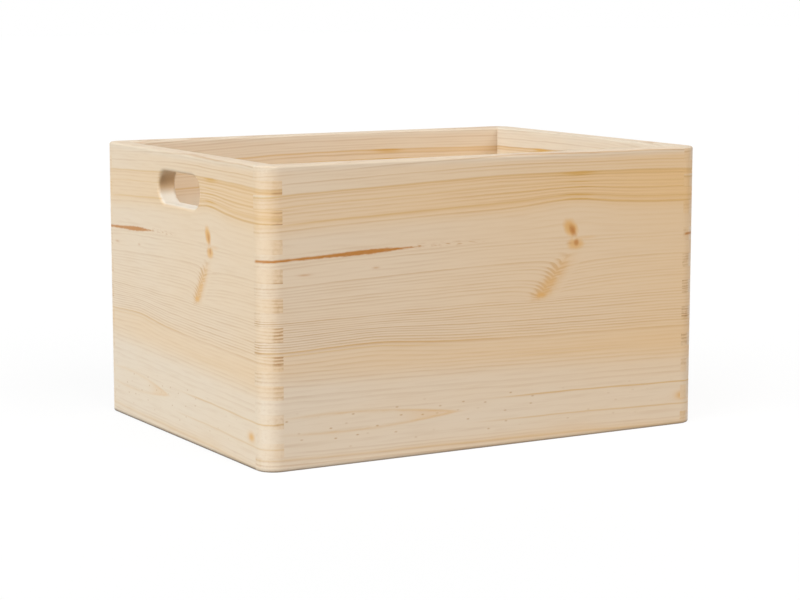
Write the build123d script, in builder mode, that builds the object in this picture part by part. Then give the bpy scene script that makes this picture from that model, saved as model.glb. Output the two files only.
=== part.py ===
"""Open pine box: four finger-jointed walls, a hand slot in each short wall and a base panel held in a groove.

Millimetres, +Z up. The origin is the middle of the footprint, on the surface that the box stands on.
+X runs along the long walls, and the front wall faces -Y.
"""

import os

from build123d import *

# Outside of the box
box_length = 400.0
box_width = 300.0
box_height = 230.0
corner_radius = 15.0

# Boards and their rounded edges
wall_thickness = 16.0
rim_radius = 2.0
foot_radius = 1.5

# Finger joints: the nearest odd number of equal fingers to this pitch fills the height
finger_pitch = 11.0

# Hand slots, measured from the rim down to the top of the slot
slot_length = 78.0
slot_height = 26.0
slot_below_rim = 16.0
slot_edge_radius = 3.0

# Base panel and the groove that holds it
panel_thickness = 6.0
panel_above_floor = 9.0
groove_depth = 6.0
panel_side_clearance = 0.5
panel_top_clearance = 0.2

# Worked-out sizes
inner_length = box_length - 2 * wall_thickness
inner_width = box_width - 2 * wall_thickness
half_fingers = round((box_height / finger_pitch - 1) / 2)
finger_count = 2 * half_fingers + 1
finger_height = box_height / finger_count
slot_centre_height = box_height - slot_below_rim - slot_height / 2
groove_length = inner_length + 2 * groove_depth
groove_width = inner_width + 2 * groove_depth
groove_height = panel_thickness + panel_top_clearance
on_base = (Align.CENTER, Align.CENTER, Align.MIN)


def end_sockets(board_length, negative_end_starts, positive_end_starts):
    """Centres of the sockets cut in a board's two ends, counted up from the floor in steps of two fingers."""
    reach = (board_length - wall_thickness) / 2
    ends = ((-reach, negative_end_starts), (reach, positive_end_starts))
    return [
        (x, (index + 0.5) * finger_height)
        for x, starts in ends
        for index in range(starts, finger_count, 2)
    ]


# The four walls together, as one rounded ring that the boards are cut from
with BuildPart() as wall_ring:
    with BuildSketch():
        RectangleRounded(box_length, box_width, corner_radius)
        Rectangle(inner_length, inner_width, mode=Mode.SUBTRACT)
    extrude(amount=box_height)
    rim_face = wall_ring.faces().sort_by(Axis.Z)[-1]
    fillet(rim_face.edges(), radius=rim_radius)
    foot_face = wall_ring.faces().sort_by(Axis.Z)[0]
    fillet(foot_face.outer_wire().edges(), radius=foot_radius)

# Front board: a finger lies at its top and foot on the left, and a socket on the right
with BuildPart() as front_wall:
    add(wall_ring.part)
    with BuildSketch(Plane.XZ.offset(inner_width / 2)):
        with Locations((0, box_height / 2)):
            Rectangle(box_length, box_height)
        with Locations(end_sockets(box_length, 1, 0)):
            Rectangle(wall_thickness, finger_height, mode=Mode.SUBTRACT)
    extrude(amount=wall_thickness, mode=Mode.INTERSECT)
    with Locations((0, 0, panel_above_floor)):
        Box(groove_length, groove_width, groove_height, align=on_base, mode=Mode.SUBTRACT)
front_wall.part.label = "front_wall"

# Right board: the same joint turned a quarter, with a hand slot that is rounded over on both faces
with BuildPart() as right_wall:
    add(wall_ring.part)
    with BuildSketch(Plane.YZ.offset(inner_length / 2)):
        with Locations((0, box_height / 2)):
            Rectangle(box_width, box_height)
        with Locations(end_sockets(box_width, 1, 0)):
            Rectangle(wall_thickness, finger_height, mode=Mode.SUBTRACT)
    extrude(amount=wall_thickness, mode=Mode.INTERSECT)
    with BuildSketch(Plane.YZ.offset(inner_length / 2)):
        with Locations((0, slot_centre_height)):
            SlotOverall(slot_length, slot_height)
    extrude(amount=wall_thickness, mode=Mode.SUBTRACT)
    broad_faces = right_wall.faces().filter_by(Axis.X).sort_by(SortBy.AREA)[-2:]
    slot_edges = [edge for face in broad_faces for edge in face.inner_wires()[0].edges()]
    fillet(slot_edges, radius=slot_edge_radius)
    with Locations((0, 0, panel_above_floor)):
        Box(groove_length, groove_width, groove_height, align=on_base, mode=Mode.SUBTRACT)
right_wall.part.label = "right_wall"

# Back and left boards: the same two pieces, turned half round
with BuildPart() as back_wall:
    add(front_wall.part, rotation=(0, 0, 180))
back_wall.part.label = "back_wall"

with BuildPart() as left_wall:
    add(right_wall.part, rotation=(0, 0, 180))
left_wall.part.label = "left_wall"

# Base panel: lies on the lower face of the groove, loose at its sides so that it can swell
with BuildPart() as base_panel:
    with Locations((0, 0, panel_above_floor)):
        Box(
            groove_length - 2 * panel_side_clearance,
            groove_width - 2 * panel_side_clearance,
            panel_thickness,
            align=on_base,
        )
base_panel.part.label = "base_panel"

os.makedirs("parts", exist_ok=True)
for piece in (front_wall, back_wall, left_wall, right_wall, base_panel):
    export_step(piece.part, f"parts/{piece.part.label}.step")
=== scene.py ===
"""Dresses the open pine box: sanded boards with their own grain, glued finger joints and a plain studio."""

import math
from typing import NamedTuple

import bmesh
import bpy
from bpy.props import FloatProperty, FloatVectorProperty, IntProperty, PointerProperty
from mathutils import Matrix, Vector


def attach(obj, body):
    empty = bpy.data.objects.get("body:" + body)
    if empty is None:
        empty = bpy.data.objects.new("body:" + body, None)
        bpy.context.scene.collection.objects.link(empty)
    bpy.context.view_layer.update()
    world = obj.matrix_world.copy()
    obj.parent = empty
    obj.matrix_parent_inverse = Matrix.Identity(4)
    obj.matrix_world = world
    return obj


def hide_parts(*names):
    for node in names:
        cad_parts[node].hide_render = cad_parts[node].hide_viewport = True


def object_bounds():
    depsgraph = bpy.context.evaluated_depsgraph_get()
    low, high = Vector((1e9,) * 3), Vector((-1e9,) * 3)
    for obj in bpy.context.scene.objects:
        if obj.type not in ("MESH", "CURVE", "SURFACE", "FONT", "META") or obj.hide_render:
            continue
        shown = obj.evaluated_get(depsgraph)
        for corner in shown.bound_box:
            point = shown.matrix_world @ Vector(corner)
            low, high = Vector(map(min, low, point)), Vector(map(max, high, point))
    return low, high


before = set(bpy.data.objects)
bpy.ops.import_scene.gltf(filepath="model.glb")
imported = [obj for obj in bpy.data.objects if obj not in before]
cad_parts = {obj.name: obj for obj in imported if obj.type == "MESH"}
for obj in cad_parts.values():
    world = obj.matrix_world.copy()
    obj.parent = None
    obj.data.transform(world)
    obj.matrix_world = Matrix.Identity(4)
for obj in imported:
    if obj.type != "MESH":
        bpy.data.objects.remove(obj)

bl_info = {
    "name": "Pine Box",
    "version": (1, 0, 0),
    "blender": (4, 5, 0),
    "location": "3D View > Sidebar > Pine Box",
    "description": "Dresses the boards of a finger-jointed pine box and sets up a plain studio",
    "category": "Object",
}

bpy.context.view_layer.update()
CAD_LOW, CAD_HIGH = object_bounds()
BODY = "root"
WALL_SLOT = "pine_wall"
BASE_SLOT = "pine_base"
FINGERS = 21
MM = 1000.0
VALUE = "NodeSocketFloat"
SOCKET_KINDS = {
    "Board": "NodeSocketVector",
    "Color": "NodeSocketColor",
    "Fingers": "NodeSocketInt",
    "Material": "NodeSocketMaterial",
    "Geometry": "NodeSocketGeometry",
}

# Where the colour sockets of a mix node are
MIX_BELOW = 6
MIX_ABOVE = 7
MIX_RESULT = 2


class PineBoxSettings(bpy.types.PropertyGroup):
    """Sizes and colours of the boards and their joints, and the camera."""

    early_wood: FloatVectorProperty(
        name="Early Wood",
        description="Pale wood between the rings",
        subtype="COLOR",
        default=(0.695, 0.577, 0.447),
    )
    late_wood: FloatVectorProperty(
        name="Late Wood",
        description="Narrow dark part of each ring",
        subtype="COLOR",
        default=(0.515, 0.345, 0.215),
    )
    warm_wood: FloatVectorProperty(
        name="Warm Wood",
        description="Wood in the bands that run yellow",
        subtype="COLOR",
        default=(0.70, 0.45, 0.21),
    )
    # Painted light: a paler colour on the inner face of a board, standing in for how light falls inside the
    # box
    painted_inner_light: FloatVectorProperty(
        name="Painted Inner Light",
        description="Painted light: paler colour on the inner side of a board",
        subtype="COLOR",
        default=(0.64, 0.62, 0.55),
    )
    # Painted highlight: a pale colour on the up-facing lip of a hand slot, standing in for the light that
    # falls on it
    painted_lip_highlight: FloatVectorProperty(
        name="Painted Lip Highlight",
        description="Painted highlight on the up-facing lip of a hand slot",
        subtype="COLOR",
        default=(0.83, 0.75, 0.64),
    )
    ring_line: FloatVectorProperty(
        name="Ring Line",
        description="Rings that stand out from the rest",
        subtype="COLOR",
        default=(0.565, 0.325, 0.09),
    )
    resin: FloatVectorProperty(
        name="Resin",
        description="Resin streak and specks",
        subtype="COLOR",
        default=(0.44, 0.175, 0.025),
    )
    knot: FloatVectorProperty(
        name="Knot",
        description="Core of a knot",
        subtype="COLOR",
        default=(0.44, 0.17, 0.03),
    )
    stain: FloatVectorProperty(
        name="Stain",
        description="Wood that a knot has stained",
        subtype="COLOR",
        default=(0.65, 0.365, 0.122),
    )
    speck: FloatVectorProperty(
        name="Speck",
        description="Small flecks and dashes in the wood",
        subtype="COLOR",
        default=(0.42, 0.21, 0.06),
    )
    end_grain: FloatVectorProperty(
        name="End Grain",
        description="Late wood where it is cut across",
        subtype="COLOR",
        default=(0.40, 0.215, 0.085),
    )
    # Painted shade: a dark brown on the lowest few mm of a wall, standing in for the shade where it meets the
    # floor
    painted_foot_shade: FloatVectorProperty(
        name="Foot Shade",
        description="Wood at the foot, darkened where it meets the floor",
        subtype="COLOR",
        default=(0.10, 0.06, 0.03),
    )
    glue: FloatVectorProperty(
        name="Glue",
        description="Glue in the hairline between two fingers",
        subtype="COLOR",
        default=(0.45, 0.30, 0.17),
    )
    fingers: IntProperty(
        name="Fingers",
        description="Fingers from the floor to the rim at each corner",
        default=FINGERS,
        min=3,
    )
    corner_radius: FloatProperty(
        name="Corner Radius",
        description="Radius of the rounded corners, seen from above",
        unit="LENGTH",
        default=0.015,
    )
    wall: FloatProperty(
        name="Wall",
        description="Thickness of the boards",
        unit="LENGTH",
        default=0.016,
    )
    foot_radius: FloatProperty(
        name="Foot Radius",
        description="Radius of the rounded edge at the foot",
        unit="LENGTH",
        default=0.0015,
    )
    rim_radius: FloatProperty(
        name="Rim Radius",
        description="Radius of the rounded edges of the rim",
        unit="LENGTH",
        default=0.002,
    )
    seam_radius: FloatProperty(
        name="Seam Radius",
        description="Radius of the hairline of glue between two fingers",
        unit="LENGTH",
        default=0.00009,
    )
    lens: FloatProperty(
        name="Lens",
        description="Focal length of the camera in millimetres",
        default=100.252,
    )


def settings():
    """The add-on's own values in the open scene."""
    return bpy.context.scene.pine_box


def socket_label(name):
    """The label of a socket for a value of that name."""
    return name.replace("_", " ").title()


class Field:
    """A value that changes over a surface: a shader socket that can be written in sums."""

    def __init__(self, graph, socket):
        self.graph = graph
        self.socket = socket

    def __add__(self, other):
        return self.graph.math("ADD", self, other)

    def __sub__(self, other):
        return self.graph.math("SUBTRACT", self, other)

    def __mul__(self, other):
        return self.graph.math("MULTIPLY", self, other)

    def __truediv__(self, other):
        return self.graph.math("DIVIDE", self, other)

    def __rsub__(self, other):
        return self.graph.math("SUBTRACT", other, self)

    def __abs__(self):
        return self.graph.math("ABSOLUTE", self)

    __radd__ = __add__

    def bell(self, centre, width):
        """1 at the centre, falling to nothing over two widths on either side."""
        away = (self - centre) / width
        return self.graph.math("EXPONENT", away * away * -1.0)

    def fade(self):
        """1 at zero, falling to about a third for each 1 that the value grows by."""
        return self.graph.math("EXPONENT", self * -1.0)

    def ease(self, low, high, start, stop):
        """Goes smoothly from start, where the value is low, to stop, where it is high."""
        return self.graph.map_range(self, low, high, start, stop, "SMOOTHSTEP")

    def scaled(self, gain, base):
        """The value times a gain, on top of a base."""
        return self * gain + base

    def rise(self, low, high):
        """Goes smoothly from 0 at low to 1 at high."""
        return self.ease(low, high, 0.0, 1.0)

    def drop(self, low, high):
        """Goes smoothly from 1 at low to 0 at high."""
        return self.ease(low, high, 1.0, 0.0)

    def hump(self, start, full, fade, stop):
        """Rises from start to full, stays at 1, and drops from fade to stop."""
        return self.rise(start, full) * self.drop(fade, stop)

    def between(self, low, high, soft):
        """1 from low to high, with soft edges outside them."""
        return self.hump(low - soft, low, high, high + soft)

    def limit(self):
        """The same value, kept from 0 to 1."""
        return self.graph.map_range(self, 0.0, 1.0, 0.0, 1.0, "LINEAR")


class Graph:
    """Adds nodes to one tree and links them as they are made."""

    def __init__(self, tree):
        self.tree = tree

    def node(self, kind, **values):
        made = self.tree.nodes.new(kind)
        for name, value in values.items():
            setattr(made, name, value)
        return made

    def feed(self, socket, value):
        if isinstance(value, Field):
            value = value.socket
        if isinstance(value, bpy.types.NodeSocket):
            self.tree.links.new(value, socket)
        else:
            socket.default_value = value

    def feed_all(self, node, values):
        for socket, value in zip(node.inputs, values):
            self.feed(socket, value)

    def feed_named(self, node, **values):
        for name, value in values.items():
            self.feed(node.inputs[socket_label(name)], value)

    def make(self, kind, **values):
        """Adds a node, feeds its inputs by name, and gives its first output."""
        made = self.node(kind)
        self.feed_named(made, **values)
        return made.outputs[0]

    def field(self, socket):
        return Field(self, socket)

    def math(self, operation, *values):
        made = self.node("ShaderNodeMath", operation=operation)
        self.feed_all(made, values)
        return self.field(made.outputs[0])

    def map_range(self, value, low, high, to_low, to_high, how):
        made = self.node("ShaderNodeMapRange", interpolation_type=how)
        self.feed_all(made, (value, low, high, to_low, to_high))
        return self.field(made.outputs[0])

    def split(self, vector):
        made = self.node("ShaderNodeSeparateXYZ")
        self.feed_all(made, (vector,))
        return [self.field(socket) for socket in made.outputs]

    def combine(self, x, y, z):
        return self.make("ShaderNodeCombineXYZ", x=x, y=y, z=z)

    def noise(self, vector, detail=1.0, roughness=0.5):
        """Smooth noise about zero, from about -1 to 1."""
        made = self.make("ShaderNodeTexNoise", vector=vector, scale=1.0, detail=detail, roughness=roughness)
        return self.map_range(made, 0.0, 1.0, -1.0, 1.0, "LINEAR")

    def ripple(self, place, waves, seed=0.0):
        """Noise at a place in the wood, with its own rate in each direction."""
        x, y, z = (axis * rate for axis, rate in zip(place, waves.rates))
        vector = self.combine(x + seed, y, z)
        return self.noise(vector, waves.detail, waves.roughness) * waves.swing + waves.middle

    def random(self, value):
        """A number from 0 to 1 that differs for each value."""
        made = self.node("ShaderNodeTexWhiteNoise", noise_dimensions="1D")
        self.feed(made.inputs["W"], value)
        return self.field(made.outputs["Value"])

    def mix(self, factor, below, above):
        """One colour laid over another."""
        made = self.node("ShaderNodeMix", data_type="RGBA", clamp_factor=True)
        self.feed(made.inputs["Factor"], factor)
        for at, value in ((MIX_BELOW, below), (MIX_ABOVE, above)):
            if not isinstance(value, bpy.types.NodeSocket):
                value = (*value, 1.0)
            self.feed(made.inputs[at], value)
        return made.outputs[MIX_RESULT]

    def group(self, tree, **values):
        """Places a shader group, with its inputs by name, and gives its outputs by label."""
        made = self.node("ShaderNodeGroup", node_tree=tree)
        self.feed_named(made, **values)
        return {socket.name: self.field(socket) for socket in made.outputs}


def new_group(name, inputs, outputs, kind="ShaderNodeTree"):
    """A group of nodes with the named sockets: its tree, graph, inputs as fields, and output sockets."""
    tree = bpy.data.node_groups.new(name, kind)
    for side, labels in (("INPUT", inputs), ("OUTPUT", outputs)):
        for label in labels:
            tree.interface.new_socket(label, in_out=side, socket_type=SOCKET_KINDS.get(label, VALUE))
    graph = Graph(tree)
    entry = graph.node("NodeGroupInput").outputs
    leave = graph.node("NodeGroupOutput").inputs
    return tree, graph, [graph.field(entry[label]) for label in inputs], leave


class Ripple(NamedTuple):
    """Noise in the wood: waves to a mm along, into and up the board, their detail, and how they swing."""

    rates: tuple
    detail: float = 1.0
    roughness: float = 0.5
    swing: float = 1.0
    middle: float = 0.0


PAST_LEFT = -60.0
PAST_RIGHT = 460.0


class RingLine(NamedTuple):
    """One ring that stands out: its height and half width in mm, its strength, and its ends if it has any."""

    height: float
    half_width: float
    strength: float
    start: float = PAST_LEFT
    stop: float = PAST_RIGHT


class Oval(NamedTuple):
    """Part of a knot, measured from the knots' own place: middle, lean, half sizes, edge and strength."""

    x: float
    z: float
    lean: float
    wide: float
    tall: float
    edge: tuple
    strength: float


# Lengths from here on are in mm, and places in mm along the board, into it and up it. Tuples go to the
# method of Field that their names end in: FROM to rise, UNTIL and EDGE to drop, SPAN to hump, BAND to
# between, GAIN to scaled, and BELL and EASE to their own

# The bends of the rings
ARCH_MIDDLE = 262.0
ARCH_HALF = 248.0
ARCH_DROP = 7.3
ARCH_FROM = (105.0, 150.0)
FALL_MIDDLE = 150.0
FALL_SLOPE = 0.02
FALL_UNTIL = (80.0, 125.0)
SWELL_BELL = (92.0, 50.0)
SWELL_BAND = (84.0, 98.0, 14.0)
SWELL_RISE = 3.0
LIFT_BELL = (0.0, 38.0)
LIFT_SPAN = (-4.0, 14.0, 24.0, 54.0)
LIFT_RISE = 5.0
SLOW_WANDER = Ripple((0.006, 0.02, 0.022), swing=1.8)
QUICK_WANDER = Ripple((0.03, 0.08, 0.14), swing=0.55)

# The spike below the knots, measured from them, and its marks, measured from its axis
SPIKE_X = -6.0
SPIKE_Z = -16.5
SPIKE_LEAN = 0.833
SPIKE_SPAN = (-53.0, -44.0, -25.0, -10.0)
SPIKE_UNEVEN = Ripple((0.17, 0.1, 0.23), detail=2.0, swing=1.6, middle=0.85)
DIP_LEFT = 11.0
DIP_RIGHT = 26.0
DIP_DEPTH = 7.0
STROKE_BELL = (-2.5, 6.0)
STROKE_STRENGTH = 8.0
BARE_BAND = (7.0, 16.0, 4.0)
BARE_CUT = 0.6
TINT_BELL = (1.5, 8.0)
TINT_EASE = (-42.0, -20.0, 1.0, 0.6)
TINT_GAIN = (0.5, 0.55)


def grain_flow_group():
    """How the rings run: a place's height with their bends taken out, and the marks of the spike knot."""
    tree, g, fields, leave = new_group(
        "Grain Flow",
        ("Board", "Seed", "Knot Along", "Knot Height", "Marks"),
        ("Height", "Strokes", "Tint", "Wander"),
    )
    board, seed, knot_along, knot_height, marks = fields
    along, _, up = place = g.split(board)
    past_knot = along - knot_along
    above_knot = up - knot_height

    # Rings arch in the upper half, fall to the right in the lower half and swell low on the left
    arch_share = (along - ARCH_MIDDLE) / ARCH_HALF
    arch = arch_share * arch_share * up.rise(*ARCH_FROM) * -ARCH_DROP
    fall = (along - FALL_MIDDLE) * up.drop(*FALL_UNTIL) * -FALL_SLOPE
    swell = along.bell(*SWELL_BELL) * up.between(*SWELL_BAND) * SWELL_RISE

    # They lift over the knots and dip to a point along the spike below them
    lift = past_knot.bell(*LIFT_BELL) * above_knot.hump(*LIFT_SPAN) * LIFT_RISE
    off_spike = past_knot - SPIKE_X - (above_knot - SPIKE_Z) * SPIKE_LEAN
    right_of = g.math("MAXIMUM", off_spike, 0.0)
    left_of = right_of - off_spike
    spike = above_knot.hump(*SPIKE_SPAN) * marks
    dip = (left_of / DIP_LEFT + right_of / DIP_RIGHT).fade() * spike * DIP_DEPTH
    wander = g.ripple(place, SLOW_WANDER, seed) + g.ripple(place, QUICK_WANDER, seed)
    g.feed(leave["Height"], up - arch - fall - swell - lift * marks + dip - wander)
    g.feed(leave["Wander"], wander)

    # Uneven strokes of late wood lie along the spike, barer wood to their right, and a tint over them
    uneven = g.ripple(place, SPIKE_UNEVEN, seed)
    bare = off_spike.between(*BARE_BAND) * BARE_CUT
    strokes = off_spike.bell(*STROKE_BELL) * STROKE_STRENGTH * uneven - bare
    g.feed(leave["Strokes"], strokes * spike)
    tint = off_spike.bell(*TINT_BELL) * spike * above_knot.ease(*TINT_EASE)
    g.feed(leave["Tint"], tint * uneven.scaled(*TINT_GAIN))
    return tree


# Spacing of the rings. Bands add rings between two heights, and part of each ring's width is late wood
OPEN_RING = 6.4
TIGHT_BANDS = (
    (0.0, 12.0, 2.1),
    (34.0, 66.0, 2.3),
    (66.0, 86.0, 3.5),
    (88.0, 116.0, 9.5),
    (116.0, 162.0, 9.0),
    (162.0, 186.0, 2.4),
    (186.0, 214.0, 5.0),
    (214.0, 240.0, 6.8),
)
SPACING_RATE = 0.11
SPACING_SLICE = 3.7
SPACING_SWING = 0.5
LATE_SPAN = (0.25, 0.82, 0.9, 1.0)

# Strength of the rings: each ring draws its own, counted from the first draw, and varies along its length
FIRST_DRAW = 8.0
RING_SPREAD = 0.9
RING_LEAST = 0.15
RING_STREAKS = Ripple((0.013, 5.3, 0.05), detail=2.0, swing=0.55)  # its second rate is from ring to ring
RING_CLOUD = Ripple((0.009, 0.02, 0.03), detail=2.0, swing=0.3, middle=0.9)
EVEN_BAND = (66.0, 114.0, 4.0)
EVEN_CUT = 0.4
EVEN_LIFT = 0.2
SHOWN_BANDS = (
    ((88.0, 114.0, 3.0), 0.95),
    ((58.0, 84.0, 4.0), 0.25),
    ((118.0, 160.0, 3.0), 0.38),
)
UPPER_BAND = (188.0, 213.0, 3.0)
UPPER_EASE = (120.0, 300.0, 0.4, 2.6)
TOP_FROM = (213.0, 217.0)
TOP_EASE = (120.0, 320.0, -0.2, 0.5)
TOP_LEAST = 0.5
OUTER_UNTIL = (8.0, 15.0)
FOOT_UNTIL = (8.0, 13.0)
FOOT_SHOWN = 0.2
LEAST_SHOWN = 0.33

# Rings that stand out, some of them only over part of the board
LINE_FADE = 40.0
RING_LINES = (
    RingLine(214.1, 0.8, 0.75),
    RingLine(212.2, 1.3, 0.45, start=250.0),
    RingLine(205.6, 0.6, 0.45),
    RingLine(200.2, 0.6, 0.52, start=190.0),
    RingLine(192.7, 0.8, 0.7, start=20.0),
    RingLine(188.5, 0.8, 0.8, start=250.0),
    RingLine(87.8, 0.6, 0.55, stop=190.0),
    RingLine(84.9, 0.6, 0.5, stop=150.0),
    RingLine(76.0, 0.6, 0.3, start=215.0, stop=320.0),
    RingLine(73.2, 0.6, 0.4, start=225.0, stop=330.0),
    RingLine(40.7, 0.65, 0.85, start=215.0),
    RingLine(22.0, 0.65, 0.55, start=205.0),
    RingLine(6.5, 1.0, 0.35),
)


def growth_rings_group():
    """Rings of late wood, tight in some bands, that differ in strength from one to the next."""
    tree, g, fields, leave = new_group("Growth Rings", ("Board", "Height", "Seed"), ("Late", "Lines"))
    board, height, seed = fields
    along, depth, _ = place = g.split(board)
    rings = height / OPEN_RING + seed
    for low, high, added in TIGHT_BANDS:
        rings = rings + g.map_range(height, low, high, 0.0, added, "LINEAR")
    rings = rings + g.noise(g.combine(height * SPACING_RATE + seed, SPACING_SLICE, 0.0)) * SPACING_SWING
    late = g.math("FRACT", rings).hump(*LATE_SPAN)
    which = g.math("FLOOR", rings) - FIRST_DRAW
    even = height.between(*EVEN_BAND)
    strength = g.random(which) * (RING_SPREAD - even * EVEN_CUT) + even * EVEN_LIFT + RING_LEAST
    strength = strength + g.ripple((along, which, depth), RING_STREAKS)

    # Some bands show their rings more than others, and the top bands show them most on the right
    shown = sum(height.between(*band) * amount for band, amount in SHOWN_BANDS)
    shown = shown + height.between(*UPPER_BAND) * along.ease(*UPPER_EASE)
    shown = shown + height.rise(*TOP_FROM) * (along.ease(*TOP_EASE) * depth.drop(*OUTER_UNTIL) + TOP_LEAST)
    shown = shown + height.drop(*FOOT_UNTIL) * FOOT_SHOWN + LEAST_SHOWN
    cloud = g.ripple(place, RING_CLOUD, seed)
    g.feed(leave["Late"], late * strength * shown * cloud)

    def stand_out(line):
        """One ring line, where it runs."""
        starts = along.rise(line.start - LINE_FADE, line.start + LINE_FADE)
        stops = along.drop(line.stop - LINE_FADE, line.stop + LINE_FADE)
        return height.bell(line.height, line.half_width) * line.strength * starts * stops

    g.feed(leave["Lines"], sum(stand_out(line) for line in RING_LINES) * cloud)
    return tree


# Two small knots, a dash beside the lower one, a tail to the right and the foot of the spike
KNOT_SLANT = 0.2
KNOT_WOBBLE = Ripple((0.22, 0.1, 0.22), detail=2.0, swing=0.25)
KNOT_CORES = (
    Oval(x=-0.4, z=3.9, lean=0.35, wide=3.4, tall=5.4, edge=(0.2, 1.25), strength=1.0),
    Oval(x=3.2, z=-6.1, lean=0.0, wide=3.0, tall=3.2, edge=(0.2, 1.25), strength=0.85),
    Oval(x=-3.5, z=-6.3, lean=0.0, wide=4.2, tall=0.9, edge=(0.3, 1.2), strength=0.3),
)
KNOT_STAINS = (
    Oval(x=-2.4, z=6.0, lean=0.3, wide=6.6, tall=7.4, edge=(0.45, 1.3), strength=1.0),
    Oval(x=2.2, z=-7.2, lean=0.1, wide=8.2, tall=4.8, edge=(0.4, 1.3), strength=0.85),
    Oval(x=13.0, z=-2.6, lean=-0.15, wide=11.0, tall=2.0, edge=(0.1, 1.3), strength=0.3),
    Oval(x=-30.0, z=-46.0, lean=0.0, wide=6.0, tall=2.6, edge=(0.2, 1.3), strength=0.5),
)


def knots_group():
    """Two small knots, one over the other: their cores, and the stain round them."""
    tree, g, fields, leave = new_group("Knots", ("Board", "Knot Along", "Knot Height"), ("Core", "Stain"))
    board, knot_along, knot_height = fields
    along, depth, up = place = g.split(board)
    x = along - knot_along + depth * KNOT_SLANT
    z = up - knot_height
    wobble = g.ripple(place, KNOT_WOBBLE)

    def shade(oval):
        """One oval, by the distance from its middle, 1 at its edge."""
        across = (x - oval.x + (z - oval.z) * oval.lean) / oval.wide
        upward = (z - oval.z) / oval.tall
        out = g.math("SQRT", across * across + upward * upward) + wobble
        return out.drop(*oval.edge) * oval.strength

    g.feed(leave["Core"], sum(shade(oval) for oval in KNOT_CORES).limit())
    g.feed(leave["Stain"], sum(shade(oval) for oval in KNOT_STAINS).limit())
    return tree


# A streak of resin that rises to its end, thick at its belly, with hairs beyond it
STREAK_LENGTH = 140.0
STREAK_RISE = 4.8
TAPER_UNTIL = (98.0, 140.0)
STREAK_UNTIL = (128.0, 142.0)
STREAK_INTO_UNTIL = (12.0, 16.0)
STREAK_RAGGED = Ripple((0.16, 0.1, 0.5), detail=4.0, roughness=0.65)
STREAK_GAIN = (0.2, 1.0)
BELLY_BELL = (84.0, 27.0)
BELLY_GAIN = (0.95, 0.85)
SHARP_EDGE = (-0.7, 0.6)
SHARP_SHARE = 0.75
SOFT_EDGE = (-0.4, 1.3)
SOFT_SHARE = 0.25
HAIR_BREAKS = Ripple((0.14, 0.1, 0.8))
HAIR_FROM = (0.0, 0.35)
HAIR_RISE = 0.4
HAIR_HALF = 1.5
HAIR_BAND = (132.0, 150.0, 55.0)
HAIR_STRENGTH = 0.65
DASH_STRENGTH = 0.45

# Dashes under the streak: how far along and how far below it, half length and half height
DASHES = (
    (34.0, 11.2, 5.0, 0.9),
    (95.0, 9.4, 3.0, 0.85),
)

# Flecks strewn low on the board, most of them on the left
FLECK_ALONG = 0.05
FLECK_UP = 0.11
FLECK_EDGE = (0.02, 0.1)
FLECK_FROM = (0.1, 0.8)
FLECK_BAND = (16.0, 42.0, 4.0)
FLECK_UNTIL = (180.0, 420.0)


def resin_group():
    """A long streak of resin from the board's left end, dashes under it, and flecks low on the board."""
    tree, g, fields, leave = new_group("Resin", ("Board", "Seed", "Streak Height"), ("Streak", "Specks"))
    board, seed, streak_height = fields
    along, depth, up = place = g.split(board)
    middle = streak_height + (along / STREAK_LENGTH).limit() * STREAK_RISE
    ragged = g.ripple(place, STREAK_RAGGED)
    half = along.bell(*BELLY_BELL).scaled(*BELLY_GAIN) * along.drop(*TAPER_UNTIL)
    past_edge = abs(up - middle + ragged) - half
    streak = past_edge.drop(*SHARP_EDGE) * SHARP_SHARE + past_edge.drop(*SOFT_EDGE) * SOFT_SHARE
    streak = streak * along.drop(*STREAK_UNTIL)
    hair = g.ripple(place, HAIR_BREAKS).rise(*HAIR_FROM)
    hair = hair * up.bell(middle + HAIR_RISE, HAIR_HALF) * along.between(*HAIR_BAND)
    streak = streak * ragged.scaled(*STREAK_GAIN) + hair * HAIR_STRENGTH
    for start, below, half_length, half_height in DASHES:
        dash = along.bell(start, half_length) * up.bell(streak_height - below, half_height)
        streak = streak + dash * DASH_STRENGTH
    g.feed(leave["Streak"], streak.limit() * depth.drop(*STREAK_INTO_UNTIL))
    cells = g.node("ShaderNodeTexVoronoi", voronoi_dimensions="2D")
    g.feed_named(cells, vector=g.combine(along * FLECK_ALONG + seed, up * FLECK_UP, 0.0), scale=1.0)
    chance = g.split(cells.outputs["Color"])[0]
    fleck = g.field(cells.outputs["Distance"]).drop(*FLECK_EDGE) * chance.rise(*FLECK_FROM)
    g.feed(leave["Specks"], fleck * up.between(*FLECK_BAND) * along.drop(*FLECK_UNTIL))
    return tree


# The loop, its golden tip and the patch on the right. Bell, tip and calm go by shares of the loop's size
LOOP_MIDDLE = 60.0
LOOP_HALF_LENGTH = 106.0
LOOP_HEIGHT = 33.0
LOOP_HALF_HEIGHT = 7.2
LOOP_LEVEL_AT = 86.0
LOOP_SLOPE = 0.012
LOOP_WANDER = 0.6
LOOP_WAVES = Ripple((0.07, 0.1, 0.35), detail=3.0, roughness=0.6)
LOOP_RAGGED = 0.13
LOOP_BELL = (1.0, 0.15)
LOOP_FROM = (0.0, 50.0)
LOOP_GAIN = (0.8, 0.75)
LOOP_GOLD = 0.1
TIP_BAND = (0.35, 0.95, 0.3)
TIP_SPAN = (105.0, 145.0, 160.0, 172.0)
TIP_GOLD = 0.26
PATCH_HALF_LENGTH = 7.0
PATCH_BELL = (24.5, 3.6)
CALM_UNTIL = (1.1, 1.7)


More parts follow.
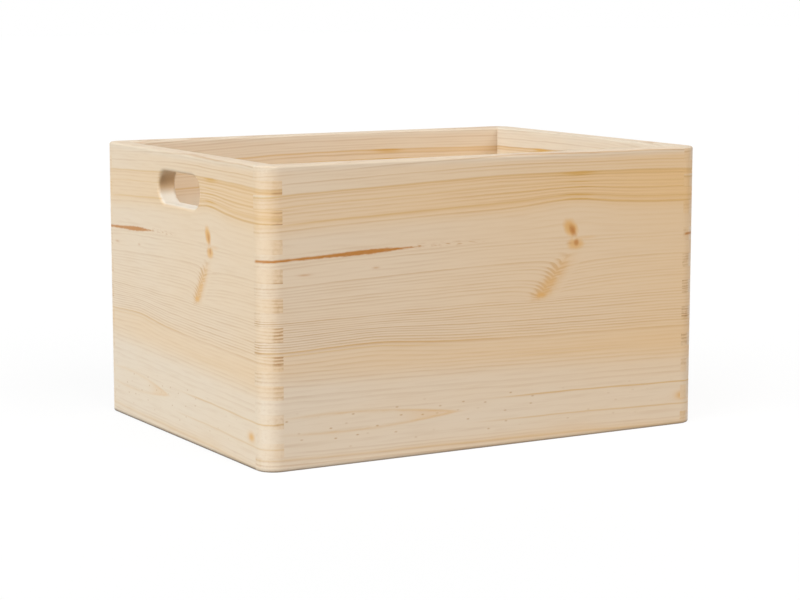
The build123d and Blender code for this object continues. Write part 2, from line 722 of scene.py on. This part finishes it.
def cathedral_group():
    """A pointed loop of one ring low on the left, its golden tip and calm wood, and a patch far right."""
    tree, g, fields, leave = new_group(
        "Cathedral Point", ("Board", "Wander", "Patch Along"), ("Loop", "Patch", "Calm")
    )
    board, wander, patch_along = fields
    along, _, up = place = g.split(board)
    across = (along - LOOP_MIDDLE) / LOOP_HALF_LENGTH
    above = up - wander * LOOP_WANDER - LOOP_HEIGHT + (along - LOOP_LEVEL_AT) * LOOP_SLOPE
    ragged = g.ripple(place, LOOP_WAVES)
    out = across * across + abs(above / LOOP_HALF_HEIGHT) + ragged * LOOP_RAGGED
    loop = out.bell(*LOOP_BELL) * along.rise(*LOOP_FROM) * ragged.scaled(*LOOP_GAIN)
    tip = out.between(*TIP_BAND) * along.hump(*TIP_SPAN)
    patch = along.bell(patch_along, PATCH_HALF_LENGTH) * up.bell(*PATCH_BELL)
    g.feed(leave["Loop"], loop)
    g.feed(leave["Patch"], patch + tip * TIP_GOLD + loop * LOOP_GOLD)
    g.feed(leave["Calm"], out.drop(*CALM_UNTIL))
    return tree


# Where the hand slot is cut, the painted shade on the upper part of its end faces, and how square to the
# grain a face has to be to show end grain
SLOT_ALONG_BAND = (60.0, 340.0, 10.0)
SLOT_INTO_BAND = (3.0, 13.0, 2.0)
SLOT_UP_BAND = (180.0, 220.0, 4.0)
SLOT_PAINTED_SHADE_FROM = (194.0, 207.0)
SLOT_PAINTED_SHADE = 0.53
SLOT_END_CUT = (0.6, 1.0)
END_CUT = (0.84, 0.97)

# Fine figure of the wood
FIBRES = Ripple((0.035, 2.0, 2.0), detail=3.0, roughness=0.65)
FAINT_STREAKS = Ripple((0.02, 0.45, 0.45), detail=2.0, roughness=0.6)
DUCTS = Ripple((0.1, 1.4, 1.4))
DUCT_FROM = (0.5, 0.75)
RING_STRENGTH = 1.1

# Where the wood runs yellow
RIGHTWARD = (30.0, 390.0)
RIGHT_WARM_EASE = (25.0, 60.0, 0.15, 0.41)
RIGHT_ABOVE_EASE = (60.0, 115.0, 0.0, 0.02)
ABOVE_WARM_EASE = (60.0, 115.0, 0.02, 0.16)
UPPER_WARM_SPAN = (178.0, 194.0, 212.0, 216.0)
UPPER_WARM_EASE = (250.0, 380.0, 0.28, 0.36)
MIDDLE_WARM_SPAN = (56.0, 76.0, 76.0, 97.0)
MIDDLE_WARM = 0.27
FOOT_WARM_UNTIL = (4.0, 15.0)
FOOT_WARM_GAIN = (0.25, 0.06)
TOP_WARM = 0.08
WARM_CLOUD = Ripple((0.006, 0.02, 0.03), detail=3.0, swing=0.15)
# Painted highlight: the yellow fades over the top few mm, so the rim is painted paler
RIM_PAINTED_HIGHLIGHT_EASE = (223.0, 229.0, 1.0, 0.15)

# How strongly the marks show, and their shares where several of them add up
CALM_CUT = 0.85
LOOP_STRENGTH = 0.47
SPECK_STRENGTH = 0.58
BRIGHT_BELL = (5.0, 13.0)
BRIGHT_FROM = (24.0, 32.0)
BRIGHT_GAIN = (1.6, 1.0)
LATE_SHARES = {"ducts": 0.12, "fibre": 0.15, "faint": 0.4, "tint": 0.35}
STAIN_SHARES = {"tint": 0.62, "stain": 0.95, "patch": 0.95}
END_SHARES = {"late": 1.6, "lines": 0.8, "blot": 0.4}
ROUGH_SHARES = {"fibre": 0.04, "late": -0.06, "streak": -0.12, "end": 0.1}
BUMP_SHARES = {"late": 0.5, "fibre": 0.35, "ducts": -0.3, "streak": 0.4}
RIM_ROUGH_EASE = (226.0, 229.5, 0.5, 0.9)
# Painted shade at the foot, fading out by 3.6 mm above the floor
PAINTED_SHADE_AT_FOOT_UNTIL = (-1.0, 3.6)

# End grain of the fingers, darkest below the middle
FINGER = CAD_HIGH.z * MM / FINGERS
FINGER_LEAST = 0.3
JOINT_BELL = (100.0, 68.0)
JOINT_GAIN = (0.85, 0.15)
END_BLOTS = Ripple((0.12, 0.3, 0.3), detail=2.0)
BLOT_FROM = (-0.2, 0.5)

# What a board gives to its pine, by name
OWN_VALUES = ("seed", "marks", "warmth", "mark_strength", "end_strength", "end_warmth", "painted_shade_at_foot")
OWN_VALUES += ("knot_along", "knot_height", "streak_height", "patch_along")


def weighed(parts, shares):
    """The sum of the named parts, each times its share."""
    return sum(parts[name] * share for name, share in shares.items())


def pine_board_group():
    """Solid pine with its grain along the board: colour, roughness and height at a place in the board."""
    inputs = ("Board", "Cut Across", "Inside", "Lip", *(socket_label(name) for name in OWN_VALUES))
    tree, g, fields, leave = new_group("Pine Board", inputs, ("Color", "Roughness", "Height"))
    board, cut_across, inside, lip, *own = fields
    seed, marks, warmth, mark_strength, end_strength, end_warmth, painted_shade_at_foot, *spots = own
    knot_along, knot_height, streak_height, patch_along = spots
    along, depth, up = place = g.split(board)
    slot = along.between(*SLOT_ALONG_BAND)
    in_slot = slot * depth.between(*SLOT_INTO_BAND) * up.between(*SLOT_UP_BAND)
    end = cut_across.rise(*END_CUT) * (1.0 - slot) + cut_across.rise(*SLOT_END_CUT) * slot

    # The marks, each from its own group
    where = {"knot_along": knot_along, "knot_height": knot_height}
    flow = g.group(grain_flow_group(), board=board, seed=seed, marks=marks, **where)
    height = flow["Height"]
    strokes = flow["Strokes"]
    rings = g.group(growth_rings_group(), board=board, height=height, seed=seed)
    late = rings["Late"] * mark_strength * (RING_STRENGTH - in_slot)
    lines = rings["Lines"] * mark_strength * marks * (1.0 - in_slot)
    knots = g.group(knots_group(), board=board, **where)
    core = knots["Core"] * marks
    resin = g.group(resin_group(), board=board, seed=seed, streak_height=streak_height)
    streak = resin["Streak"] * marks
    specks = resin["Specks"] * marks
    cathedral = g.group(cathedral_group(), board=board, wander=flow["Wander"], patch_along=patch_along)
    loop = cathedral["Loop"] * marks
    calm = cathedral["Calm"] * marks
    parts = {
        "fibre": g.ripple(place, FIBRES),
        "faint": g.ripple(place, FAINT_STREAKS, seed),
        "ducts": g.ripple(place, DUCTS, seed).rise(*DUCT_FROM),
        "blot": g.ripple(place, END_BLOTS, seed).rise(*BLOT_FROM),
        "late": late,
        "lines": lines,
        "tint": flow["Tint"],
        "stain": knots["Stain"] * marks,
        "patch": cathedral["Patch"] * marks,
        "streak": streak,
        "end": end * end_strength,
    }

    # The wood runs yellow to the right, and in bands near the top, below the middle and at the foot
    right = g.map_range(along, *RIGHTWARD, 0.0, 1.0, "LINEAR") * warmth
    warm = right * (up.ease(*RIGHT_WARM_EASE) + up.ease(*RIGHT_ABOVE_EASE)) + up.ease(*ABOVE_WARM_EASE)
    warm = warm + height.hump(*UPPER_WARM_SPAN) * along.ease(*UPPER_WARM_EASE)
    warm = warm + height.hump(*MIDDLE_WARM_SPAN) * MIDDLE_WARM
    warm = warm + height.drop(*FOOT_WARM_UNTIL) * right.scaled(*FOOT_WARM_GAIN)
    warm = warm + height.rise(*TOP_FROM) * TOP_WARM + g.ripple(place, WARM_CLOUD, seed)
    # Painted highlight: the yellow fades out near the rim
    warm = warm * up.ease(*RIM_PAINTED_HIGHLIGHT_EASE) + end * end_warmth

    # End grain differs from finger to finger, and the upper part of the hand slot's end faces gets painted
    # shade
    finger = g.math("FLOOR", up / FINGER)
    joint = up.bell(*JOINT_BELL).scaled(*JOINT_GAIN) * (g.random(finger + seed) + FINGER_LEAST)
    end_dark_and_slot_shade = joint * weighed(parts, END_SHARES) * (1.0 - slot) + slot * up.rise(*SLOT_PAINTED_SHADE_FROM) * SLOT_PAINTED_SHADE

    # Colours laid over each other, from the palest to the darkest
    palette = settings()
    late_share = late * (1.0 - calm * CALM_CUT) * (strokes + 1.0) + weighed(parts, LATE_SHARES)
    over_knot = (along - knot_along).bell(*BRIGHT_BELL) * (up - knot_height).rise(*BRIGHT_FROM)
    color = palette.early_wood
    for share, paint in (
        (late_share, palette.late_wood),
        (warm, palette.warm_wood),
        # Painted light: the inner face is painted paler
        (inside, palette.painted_inner_light),
        # Painted highlight on the up-facing lip of the hand slot
        (lip, palette.painted_lip_highlight),
        (lines * over_knot.scaled(*BRIGHT_GAIN), palette.ring_line),
        (loop * mark_strength * mark_strength * LOOP_STRENGTH, palette.ring_line),
        (specks * SPECK_STRENGTH, palette.speck),
        (weighed(parts, STAIN_SHARES), palette.stain),
        (core * mark_strength, palette.knot),
        (streak, palette.resin),
        (parts["end"] * end_dark_and_slot_shade, palette.end_grain),
        # Painted shade where the foot meets the floor
        (up.drop(*PAINTED_SHADE_AT_FOOT_UNTIL) * painted_shade_at_foot, palette.painted_foot_shade),
    ):
        color = g.mix(share, color, paint)
    g.feed(leave["Color"], color)
    g.feed(leave["Roughness"], weighed(parts, ROUGH_SHARES) + up.ease(*RIM_ROUGH_EASE))
    g.feed(leave["Height"], weighed(parts, BUMP_SHARES))
    return tree


class Board(NamedTuple):
    """One board: its CAD node and slot, how the room maps on to it in mm, and where its marks lie. Its slot
    is not used.
    """

    node: str
    scale: tuple
    shift: tuple
    seed: float
    warmth: float
    slot: str = WALL_SLOT
    grain: tuple = (1, 0, 0)
    turn: tuple = (0, 0, 0)
    marks: float = 1.0
    knot_along: float = 275.0
    knot_height: float = 164.0
    streak_height: float = 158.8
    end_strength: float = 0.3
    end_warmth: float = 0.1
    # Share of the painted light on the inner face
    inside_painted_light: float = 0.25
    mark_strength: float = 0.9
    # Strength of the painted shade at the foot
    painted_shade_at_foot: float = 0.82
    patch_along: float = 386.0


# A short board carries the same pattern as a long one, squeezed to its length
PATTERN_LENGTH = 400.0
HALF_LENGTH = CAD_HIGH.x * MM
HALF_WIDTH = CAD_HIGH.y * MM
SQUEEZE = PATTERN_LENGTH / (2.0 * HALF_WIDTH)
LONG_SCALE = (MM, MM, MM)
SHORT_SCALE = (MM, MM * SQUEEZE, MM)
BACK_SCALE = (MM, -MM, MM)
RIGHT_SCALE = (-MM, -MM * SQUEEZE, MM)
LONG_SHIFT = (HALF_LENGTH, HALF_WIDTH, 0.0)
SHORT_SHIFT = (HALF_WIDTH * SQUEEZE, HALF_LENGTH, 0.0)
BASE_INTO = 16.0
BASE_MIDDLE = 115.0
BASE_SHIFT = (HALF_LENGTH, BASE_INTO, BASE_MIDDLE)
QUARTER = math.pi / 2.0
BOARDS = {
    "front": Board(node="front_wall", scale=LONG_SCALE, shift=LONG_SHIFT, seed=0.0, warmth=1.0),
    "back": Board(
        node="back_wall",
        scale=BACK_SCALE,
        shift=LONG_SHIFT,
        seed=7.3,
        warmth=0.15,
        knot_along=262.0,
        knot_height=142.0,
        streak_height=118.0,
        inside_painted_light=0.15,
    ),
    "left": Board(
        node="left_wall",
        scale=SHORT_SCALE,
        shift=SHORT_SHIFT,
        seed=0.0,
        warmth=0.36,
        grain=(0, 1, 0),
        turn=(0, 0, QUARTER),
        end_strength=1.0,
        end_warmth=0.12,
        mark_strength=0.66,
        painted_shade_at_foot=1.6,
        patch_along=370.0,
    ),
    "right": Board(
        node="right_wall",
        scale=RIGHT_SCALE,
        shift=SHORT_SHIFT,
        seed=3.1,
        warmth=-0.4,
        grain=(0, 1, 0),
        turn=(0, 0, QUARTER),
        knot_height=150.0,
        end_strength=0.9,
        end_warmth=0.45,
        inside_painted_light=0.22,
        mark_strength=0.8,
    ),
    "base": Board(
        node="base_panel",
        scale=LONG_SCALE,
        shift=BASE_SHIFT,
        seed=11.7,
        warmth=0.3,
        slot=BASE_SLOT,
        turn=(QUARTER, 0, 0),
        marks=0.0,
        end_warmth=0.0,
        painted_shade_at_foot=0.0,
    ),
}


def pine_group():
    """The shared pine group, made once."""
    return bpy.data.node_groups.get("Pine Board") or pine_board_group()


def new_surface(name, scale, turn=(0, 0, 0), shift=(0, 0, 0)):
    """A material: itself, its graph, its shader, and the place in the room mapped to mm on a piece."""
    material = bpy.data.materials.new(name)
    material.use_nodes = True
    g = Graph(material.node_tree)
    room = g.node("ShaderNodeTexCoord").outputs["Object"]
    place = g.make("ShaderNodeMapping", vector=room, scale=scale, rotation=turn, location=shift)
    return material, g, material.node_tree.nodes["Principled BSDF"], place


# Where the lip of the hand slot faces up, for its painted highlight, where the inner face's painted light
# starts, and the strength and height of the bump in metres
LIP_FROM = (0.0, 0.7)
LIP_BAND = (2.0, 14.0, 2.0)
LIP_UNTIL = (218.0, 224.0)
INNER_FROM = (11.0, 15.5)
WOOD_BUMP = 0.25
WOOD_BUMP_HEIGHT = 0.0002


def wall_material(name):
    """Pine for one board: its place in the room becomes a place along, into and up the board, in mm."""
    board = BOARDS[name]
    material, g, shader, place = new_surface(f"Pine {name}", board.scale, board.turn, board.shift)
    normal = g.node("ShaderNodeNewGeometry").outputs["Normal"]
    facing = g.node("ShaderNodeVectorMath", operation="DOT_PRODUCT")
    g.feed_all(facing, (normal, board.grain))
    cut_across = abs(g.field(facing.outputs["Value"]))
    _, depth, up = g.split(place)
    _, _, upward = g.split(normal)

    # The inner face is painted paler as painted light, and the lip of the hand slot gets a painted highlight
    # where it faces up
    lip = upward.rise(*LIP_FROM) * depth.between(*LIP_BAND) * up.drop(*LIP_UNTIL)
    inside = depth.rise(*INNER_FROM) * cut_across.drop(*END_CUT) * board.inside_painted_light
    own = {value: getattr(board, value) for value in OWN_VALUES}
    pine = g.group(pine_group(), board=place, cut_across=cut_across, inside=inside, lip=lip, **own)
    bump = g.make("ShaderNodeBump", strength=WOOD_BUMP, distance=WOOD_BUMP_HEIGHT, height=pine["Height"])
    g.feed_named(shader, base_color=pine["Color"], roughness=pine["Roughness"], normal=bump)
    return material


def add_object(name, data):
    """An object in the open scene."""
    made = bpy.data.objects.new(name, data)
    bpy.context.scene.collection.objects.link(made)
    return made


MERGE_WITHIN = 1e-6
FLAT_ANGLE = math.radians(0.5)
SHARP_ANGLE = math.radians(45.0)
LARGEST_FACES_ONLY = 100


def make_board(name):
    """A board cut to its CAD shape, with flat faces kept flat beside the rounded ones."""
    board = BOARDS[name]
    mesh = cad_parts[board.node].data.copy()
    mesh.name = f"{name}_board"
    shape = bmesh.new()
    shape.from_mesh(mesh)
    bmesh.ops.remove_doubles(shape, verts=shape.verts, dist=MERGE_WITHIN)
    bmesh.ops.dissolve_limit(shape, angle_limit=FLAT_ANGLE, verts=shape.verts, edges=shape.edges)
    for face in shape.faces:
        face.smooth = True
    for edge in shape.edges:
        edge.smooth = edge.calc_face_angle(math.pi) < SHARP_ANGLE
    shape.to_mesh(mesh)
    shape.free()
    old_normals = mesh.attributes.get("custom_normal")
    if old_normals:
        mesh.attributes.remove(old_normals)
    mesh.materials.clear()
    mesh.materials.append(wall_material(name))
    piece = add_object(f"{name}_board", mesh)
    level = piece.modifiers.new("Level faces", "WEIGHTED_NORMAL")
    level.mode = "FACE_AREA"
    level.weight = LARGEST_FACES_ONLY
    level.keep_sharp = True
    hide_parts(board.node)
    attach(piece, BODY)


ARC_POINTS = 13
SEAM_SIDES = 6
SEAM_SINK = 1.2
CORNERS = 4
FIRST_CORNER = math.radians(225.0)
HALF_DIAGONAL = math.sqrt(2.0)


def joint_seam_tree(inputs):
    """Glue lines between the fingers: built for one corner, then turned round to all four."""
    tree, g, fields, leave = new_group("Joint Seams", inputs, ("Geometry",), "GeometryNodeTree")
    radius, wall, finger, half_length, half_width, foot, rim, thin, fingers, material = fields
    out = (radius - thin * SEAM_SINK) * -1.0
    joint_end = wall - radius
    top = finger * fingers

    def line(start, stop):
        """A straight line between two places."""
        return g.make("GeometryNodeCurvePrimitiveLine", start=g.combine(*start), end=g.combine(*stop))

    def joined(*parts):
        """Several shapes as one."""
        made = g.node("GeometryNodeJoinGeometry")
        for part in parts:
            g.feed(made.inputs[0], part)
        return made.outputs[0]

    def stacked(curve, count, first, step):
        """Copies of a curve one above another."""
        start, offset = (g.combine(0.0, 0.0, up) for up in (first, step))
        points = g.make("GeometryNodeMeshLine", count=count, start_location=start, offset=offset)
        return g.make("GeometryNodeInstanceOnPoints", points=points, instance=curve)

    # One seam round the corner above each finger but the last
    sweep = {"start_angle": math.pi, "sweep_angle": QUARTER}
    arc = g.make("GeometryNodeCurveArc", resolution=ARC_POINTS, radius=out * -1.0, **sweep)
    left_run = line((out, joint_end, 0.0), (out, 0.0, 0.0))
    front_run = line((0.0, out, 0.0), (joint_end, out, 0.0))
    round_corner = stacked(joined(left_run, arc, front_run), fingers - 1.0, finger, finger)

    # A short upright seam at the end of each finger, on the left and on the front by turns
    left_end = line((out, joint_end, 0.0), (out, joint_end, finger))
    front_end = line((joint_end, out, 0.0), (joint_end, out, finger))
    left_ends = stacked(left_end, (fingers + 1.0) / 2.0, 0.0, finger * 2.0)
    front_ends = stacked(front_end, (fingers - 1.0) / 2.0, finger, finger * 2.0)
    real = g.make("GeometryNodeRealizeInstances", geometry=joined(round_corner, left_ends, front_ends))

    # The seams stop where the foot and the rim are rounded
    x, y, z = g.split(g.make("GeometryNodeInputPosition"))
    clipped = g.math("MINIMUM", g.math("MAXIMUM", z, foot), top - rim)
    trim = g.make("GeometryNodeSetPosition", geometry=real, position=g.combine(x, y, clipped))

    # The top finger also has a seam across the rim
    across_rim = line((rim - radius, joint_end, top - thin), (joint_end - rim, joint_end, top - thin))
    profile = g.make("GeometryNodeCurvePrimitiveCircle", resolution=SEAM_SIDES, radius=thin)
    curves = joined(trim, across_rim)
    thread = g.make("GeometryNodeCurveToMesh", curve=curves, profile_curve=profile, fill_caps=True)

    # Corners in turn from the front left, each a quarter turn on from the one before
    ring = g.make("GeometryNodeMeshCircle", vertices=CORNERS, radius=HALF_DIAGONAL)
    square = g.make("GeometryNodeTransform", geometry=ring, rotation=(0.0, 0.0, FIRST_CORNER))
    reach = g.combine(half_length - radius, half_width - radius, 1.0)
    spread = g.make("GeometryNodeTransform", geometry=square, scale=reach)
    turn = g.combine(0.0, 0.0, g.field(g.make("GeometryNodeInputIndex")) * QUARTER)
    corners = g.make("GeometryNodeInstanceOnPoints", points=spread, instance=thread, rotation=turn)
    whole = g.make("GeometryNodeRealizeInstances", geometry=corners)
    g.feed(leave["Geometry"], g.make("GeometryNodeSetMaterial", geometry=whole, material=material))
    return tree


GLUE_DETAIL = 3.0
GLUE_TONE_GAIN = (0.4, 0.3)
GLUE_ROUGH_GAIN = (0.1, 0.45)
GLUE_BUMP = 0.2
GLUE_BUMP_HEIGHT = 0.00005


def glue_material():
    """Dried glue: a little darker than the wood, uneven along the seam."""
    material, g, shader, place = new_surface("Joint glue", LONG_SCALE)
    uneven = g.noise(place, GLUE_DETAIL)
    palette = settings()
    color = g.mix(uneven.scaled(*GLUE_TONE_GAIN), palette.glue, palette.late_wood)
    bump = g.make("ShaderNodeBump", strength=GLUE_BUMP, distance=GLUE_BUMP_HEIGHT, height=uneven)
    g.feed_named(shader, base_color=color, roughness=uneven.scaled(*GLUE_ROUGH_GAIN), normal=bump)
    return material


def make_joint_seams():
    """The glue lines of all four corners, as one plain mesh."""
    given = settings()
    values = {
        "Corner Radius": given.corner_radius,
        "Wall": given.wall,
        "Finger Height": CAD_HIGH.z / given.fingers,
        "Half Length": CAD_HIGH.x,
        "Half Width": CAD_HIGH.y,
        "Foot Radius": given.foot_radius,
        "Rim Radius": given.rim_radius,
        "Seam Radius": given.seam_radius,
        "Fingers": given.fingers,
        "Material": glue_material(),
    }
    tree = joint_seam_tree(values)
    carrier = add_object("seam_carrier", bpy.data.meshes.new("seam_carrier"))
    nodes = carrier.modifiers.new("Joint Seams", "NODES")
    nodes.node_group = tree
    for socket in tree.interface.items_tree:
        if socket.in_out == "INPUT":
            nodes[socket.identifier] = values[socket.name]
    depsgraph = bpy.context.evaluated_depsgraph_get()
    mesh = bpy.data.meshes.new_from_object(carrier.evaluated_get(depsgraph))
    mesh.name = "joint_seams"
    bpy.data.objects.remove(carrier)
    if not mesh.polygons:
        raise RuntimeError("the joint seams came out empty")
    mesh.materials.clear()
    mesh.materials.append(values["Material"])
    mesh.shade_smooth()
    piece = add_object("joint_seams", mesh)
    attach(piece, BODY)


class PINEBOX_OT_long_walls(bpy.types.Operator):
    """Make the front and back boards"""

    bl_idname = "pine_box.long_walls"
    bl_label = "Long Walls"

    def execute(self, context):
        make_board("front")
        make_board("back")
        return {"FINISHED"}


class PINEBOX_OT_short_walls(bpy.types.Operator):
    """Make the left and right boards, with their hand slots"""

    bl_idname = "pine_box.short_walls"
    bl_label = "Short Walls"

    def execute(self, context):
        make_board("left")
        make_board("right")
        return {"FINISHED"}


class PINEBOX_OT_base_panel(bpy.types.Operator):
    """Make the panel that closes the bottom"""

    bl_idname = "pine_box.base_panel"
    bl_label = "Base Panel"

    def execute(self, context):
        make_board("base")
        return {"FINISHED"}


class PINEBOX_OT_joint_seams(bpy.types.Operator):
    """Make the hairlines of glue between the fingers at the four corners"""

    bl_idname = "pine_box.joint_seams"
    bl_label = "Joint Seams"

    def execute(self, context):
        make_joint_seams()
        return {"FINISHED"}


class PINEBOX_OT_studio(bpy.types.Operator):
    """Set up the pale floor, the soft light and the camera"""

    bl_idname = "pine_box.studio"
    bl_label = "Studio"

    def execute(self, context):
        make_floor()
        make_world()
        make_lamps()
        make_camera()
        context.scene.view_settings.view_transform = "Standard"
        return {"FINISHED"}


def seen_directly(g):
    """1 where a camera, mirror or glass ray looks, and 0 for light that falls on something."""
    rays = g.node("ShaderNodeLightPath").outputs
    seen = g.math("MAXIMUM", rays["Is Camera Ray"], rays["Is Glossy Ray"])
    return g.math("MAXIMUM", seen, rays["Is Transmission Ray"])


FLOOR_HALF = 12.0
FLOOR_PAINT = 0.3
FLOOR_WHITE_SHARE = 0.88
SKY_LIGHT = 0.12


def make_floor():
    """A wide pale floor, white to the eye, that keeps a faint shadow."""
    mesh = bpy.data.meshes.new("floor")
    square = ((-1, -1), (1, -1), (1, 1), (-1, 1))
    mesh.from_pydata([(FLOOR_HALF * x, FLOOR_HALF * y, 0) for x, y in square], [], [(0, 1, 2, 3)])
    floor = add_object("floor", mesh)
    material = bpy.data.materials.new("Pale floor")
    material.use_nodes = True
    material.node_tree.nodes.clear()
    g = Graph(material.node_tree)
    seen = seen_directly(g)
    shade = g.map_range(seen, 0.0, 1.0, FLOOR_PAINT, 1.0, "LINEAR")
    paint = g.make("ShaderNodeBsdfDiffuse", color=shade)
    glow = g.make("ShaderNodeEmission")
    blend = g.node("ShaderNodeMixShader")
    g.feed_all(blend, (seen * FLOOR_WHITE_SHARE, paint, glow))
    g.feed_all(g.node("ShaderNodeOutputMaterial"), (blend.outputs[0],))
    mesh.materials.append(material)


def make_world():
    """White to the eye, and an even soft light on the object."""
    world = bpy.data.worlds.new("Studio")
    world.use_nodes = True
    bpy.context.scene.world = world
    g = Graph(world.node_tree)
    sky = world.node_tree.nodes["Background"]
    sky.inputs["Color"].default_value = (1.0, 1.0, 1.0, 1.0)
    g.feed(sky.inputs["Strength"], g.map_range(seen_directly(g), 0.0, 1.0, SKY_LIGHT, 1.0, "LINEAR"))


class Lamp(NamedTuple):
    """A broad soft lamp far away: its turn from the left towards the front and its rise, in degrees,
    its strength and tint, and whether it casts a shadow and gleams."""

    name: str
    turn: float
    rise: float
    strength: float
    tint: tuple
    shadow: bool
    gleam: bool


LAMP_BREADTH = 50.0
COOL = (0.93, 0.98, 1.0)
WARM = (1.0, 0.965, 0.93)
LAMPS = (
    Lamp("left_fill", 0.0, 10.0, 1.9, COOL, False, True),
    Lamp("left_key", 20.0, 45.0, 1.62, COOL, True, True),
    Lamp("front_key", 105.0, 35.0, 2.08, WARM, True, True),
    Lamp("back_fill", 240.0, 10.0, 1.7, WARM, True, False),
)


def make_lamps():
    """A cool key and fill from the left, a warm key from the front and a weak fill from the back."""
    for lamp in LAMPS:
        light = bpy.data.lights.new(lamp.name, "SUN")
        light.energy = lamp.strength
        light.color = lamp.tint
        light.angle = math.radians(LAMP_BREADTH)
        light.use_shadow = lamp.shadow
        turn = math.radians(lamp.turn)
        rise = math.radians(lamp.rise)
        level = math.cos(rise)
        come_from = Vector((-math.cos(turn) * level, -math.sin(turn) * level, math.sin(rise)))
        holder = add_object(lamp.name, light)
        holder.visible_glossy = lamp.gleam
        holder.location = come_from
        holder.rotation_euler = come_from.to_track_quat("Z", "Y").to_euler()


CAMERA_PLACE = (-0.92544, -1.60721, 0.36517)
CAMERA_TURN = 30.003
CAMERA_DOWN = 8.184
SENSOR_WIDTH = 36.0


def make_camera():
    """The photograph's view: three quarters from the left, a little above the rim."""
    camera = bpy.data.cameras.new("camera")
    camera.lens = settings().lens
    camera.sensor_width = SENSOR_WIDTH
    holder = add_object("camera", camera)
    holder.location = CAMERA_PLACE
    holder.rotation_euler = (QUARTER - math.radians(CAMERA_DOWN), 0.0, math.radians(-CAMERA_TURN))
    bpy.context.scene.camera = holder


class PINEBOX_PT_panel(bpy.types.Panel):
    """Lists the pieces of the box and its studio"""

    bl_idname = "PINEBOX_PT_panel"
    bl_label = "Pine Box"
    bl_space_type = "VIEW_3D"
    bl_region_type = "UI"
    bl_category = "Pine Box"

    def draw(self, context):
        for operator in OPERATORS:
            self.layout.operator(operator.bl_idname)


OPERATORS = (
    PINEBOX_OT_long_walls,
    PINEBOX_OT_short_walls,
    PINEBOX_OT_base_panel,
    PINEBOX_OT_joint_seams,
    PINEBOX_OT_studio,
)
CLASSES = (PineBoxSettings, *OPERATORS, PINEBOX_PT_panel)


def register():
    for each in CLASSES:
        bpy.utils.register_class(each)
    bpy.types.Scene.pine_box = PointerProperty(type=PineBoxSettings)


def unregister():
    del bpy.types.Scene.pine_box
    for each in reversed(CLASSES):
        bpy.utils.unregister_class(each)


def main():
    """Builds everything in order."""
    register()
    bpy.ops.pine_box.long_walls()
    bpy.ops.pine_box.short_walls()
    bpy.ops.pine_box.base_panel()
    bpy.ops.pine_box.joint_seams()
    bpy.ops.pine_box.studio()
    bpy.context.view_layer.update()


if __name__ == "__main__":
    main()
